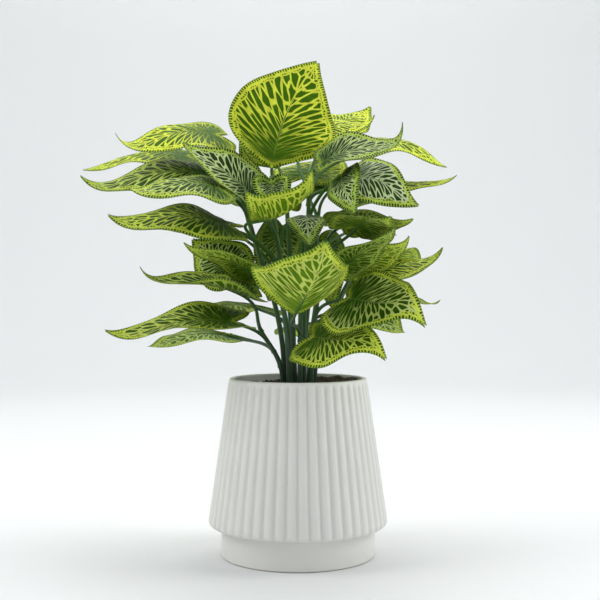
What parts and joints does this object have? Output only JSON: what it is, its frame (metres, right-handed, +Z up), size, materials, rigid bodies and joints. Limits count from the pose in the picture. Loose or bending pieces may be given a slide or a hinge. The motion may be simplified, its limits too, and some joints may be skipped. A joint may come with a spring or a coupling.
{
  "type": "potted nerve plant",
  "caption": "Bushy artificial nerve plant with net-veined heart-shaped leaves that end in drip tips, in a ribbed white ceramic pot that widens towards a smooth base ring.",
  "frame": {"origin": "centre of the flat underside of the pot, on the surface that it stands on", "axes": "+Z up along the pot's axis; -Y towards the viewer of the picture; +X to the viewer's right"},
  "size_m": [0.2828, 0.2127, 0.3611],
  "materials": {
    "pot": "satin",
    "soil": "matte",
    "stem": "satin",
    "leaf": "satin"
  },
  "bodies": {
    "root": {"pot": "pot", "soil": "soil", "stem_01": "stem", "stem_02": "stem", "stem_03": "stem", "stem_04": "stem", "stem_05": "stem", "stem_06": "stem", "stem_07": "stem", "stem_08": "stem", "stem_09": "stem", "stem_10": "stem", "stem_11": "stem", "stem_12": "stem", "leaf_01": "leaf", "leaf_02": "leaf", "leaf_03": "leaf", "leaf_04": "leaf", "leaf_05": "leaf", "leaf_06": "leaf", "leaf_07": "leaf", "leaf_08": "leaf", "leaf_09": "leaf", "leaf_10": "leaf", "leaf_11": "leaf", "leaf_12": "leaf", "leaf_13": "leaf", "leaf_14": "leaf", "leaf_15": "leaf", "leaf_16": "leaf", "leaf_17": "leaf", "leaf_18": "leaf", "leaf_19": "leaf", "leaf_20": "leaf", "leaf_21": "leaf", "leaf_22": "leaf", "leaf_23": "leaf", "leaf_24": "leaf", "leaf_25": "leaf", "leaf_26": "leaf", "leaf_27": "leaf", "leaf_28": "leaf", "leaf_29": "leaf", "leaf_30": "leaf", "leaf_31": "leaf", "leaf_32": "leaf", "leaf_33": "leaf", "leaf_34": "leaf", "leaf_35": "leaf", "leaf_36": "leaf", "leaf_37": "leaf", "leaf_38": "leaf", "leaf_39": "leaf", "leaf_40": "leaf", "leaf_41": "leaf", "leaf_42": "leaf", "leaf_43": "leaf", "leaf_44": "leaf", "leaf_45": "leaf"}
  },
  "joints": []
}
